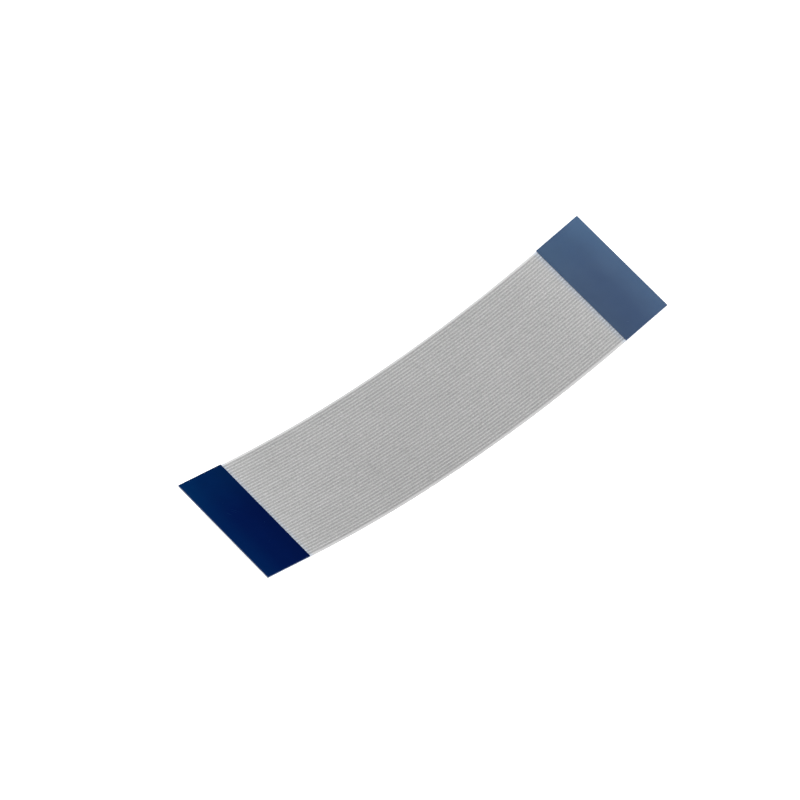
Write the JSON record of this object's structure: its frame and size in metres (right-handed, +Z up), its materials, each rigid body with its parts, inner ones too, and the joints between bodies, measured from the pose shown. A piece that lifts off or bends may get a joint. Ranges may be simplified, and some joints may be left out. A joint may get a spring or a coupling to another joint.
{
  "type": "flat flex cable",
  "caption": "Flat flexible jumper cable: ribbed translucent film over flat tinned conductors, with a blue stiffener over the bare contacts at each end.",
  "frame": {"origin": "middle of the strip on the surface it lies on, under the lowest line of its belly", "axes": "+X along the strip towards its right end, +Y across the conductors, +Z up out of the concave face"},
  "size_m": [0.075, 0.0204, 0.0059],
  "materials": {
    "film": "satin, translucent",
    "stiffener": "gloss",
    "contact": "bright tin plate"
  },
  "bodies": {
    "root": {"upper_film": "film", "lower_film": "film", "stiffener_left": "stiffener", "stiffener_right": "stiffener", "conductor_01": "contact", "conductor_02": "contact", "conductor_03": "contact", "conductor_04": "contact", "conductor_05": "contact", "conductor_06": "contact", "conductor_07": "contact", "conductor_08": "contact", "conductor_09": "contact", "conductor_10": "contact", "conductor_11": "contact", "conductor_12": "contact", "conductor_13": "contact", "conductor_14": "contact", "conductor_15": "contact", "conductor_16": "contact", "conductor_17": "contact", "conductor_18": "contact", "conductor_19": "contact", "conductor_20": "contact", "conductor_21": "contact", "conductor_22": "contact", "conductor_23": "contact", "conductor_24": "contact", "conductor_25": "contact", "conductor_26": "contact", "conductor_27": "contact", "conductor_28": "contact", "conductor_29": "contact", "conductor_30": "contact", "conductor_31": "contact", "conductor_32": "contact", "conductor_33": "contact", "conductor_34": "contact", "conductor_35": "contact", "conductor_36": "contact", "conductor_37": "contact", "conductor_38": "contact", "conductor_39": "contact", "conductor_40": "contact"}
  },
  "joints": []
}
